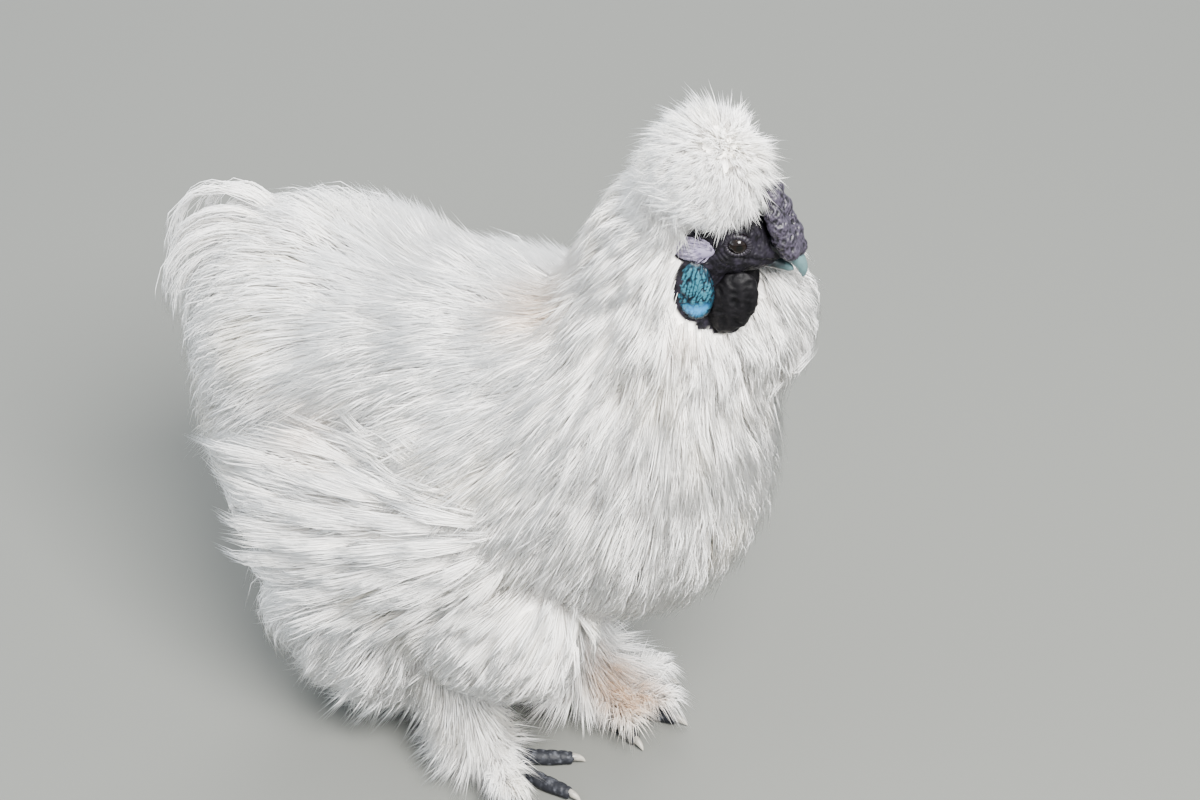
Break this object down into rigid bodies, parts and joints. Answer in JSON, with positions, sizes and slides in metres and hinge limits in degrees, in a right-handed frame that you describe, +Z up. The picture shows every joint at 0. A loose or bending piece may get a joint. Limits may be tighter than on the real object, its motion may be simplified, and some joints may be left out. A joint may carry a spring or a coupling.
{
  "type": "silkie cock",
  "caption": "White silkie cock standing with its head turned to its left: fluffy crest and coat, dark face, blue earlobes, feathered feet.",
  "frame": {"origin": "on the floor, below the middle of the bird's overall box", "axes": "+X the way the bird's body faces, +Y the bird's left, +Z up"},
  "size_m": [0.3258, 0.181, 0.3576],
  "materials": {
    "plumage": "dry silky down and webless feathers, pure white with faint cream tips",
    "face_skin": "bare pebbled mulberry-black skin, satin",
    "comb_skin": "lumpy walnut comb, dark purple-black, satin",
    "wattle_skin": "thin folded black skin, satin",
    "earlobe_skin": "turquoise, finely wrinkled skin",
    "eye": "wet, near black",
    "bill_horn": "smooth slate-blue horn, dark at the base and pale at the tip",
    "scaly_skin": "matte slate scales",
    "claw_horn": "worn pale horn"
  },
  "bodies": {
    "root": {"head": "face_skin", "beak_upper": "bill_horn", "beak_lower": "bill_horn", "comb": "comb_skin", "eye_R": "eye", "wattle_R": "wattle_skin", "earlobe_R": "earlobe_skin", "ear_tuft_R": "plumage", "wing_R": "plumage", "thigh_R": "plumage", "shank_R": "plumage", "foot_R": "scaly_skin", "toe_R1": "scaly_skin", "claw_R1": "claw_horn", "toe_R2": "scaly_skin", "claw_R2": "claw_horn", "toe_R3": "scaly_skin", "claw_R3": "claw_horn", "toe_R4": "plumage", "claw_R4": "claw_horn", "toe_R5": "scaly_skin", "claw_R5": "claw_horn", "eye_L": "eye", "wattle_L": "wattle_skin", "earlobe_L": "earlobe_skin", "ear_tuft_L": "plumage", "wing_L": "plumage", "thigh_L": "plumage", "shank_L": "plumage", "foot_L": "scaly_skin", "toe_L1": "scaly_skin", "claw_L1": "claw_horn", "toe_L2": "scaly_skin", "claw_L2": "claw_horn", "toe_L3": "plumage", "claw_L3": "claw_horn", "toe_L4": "plumage", "claw_L4": "claw_horn", "toe_L5": "scaly_skin", "claw_L5": "claw_horn", "torso": "plumage", "neck": "plumage", "crest": "plumage", "tail": "plumage"}
  },
  "joints": []
}
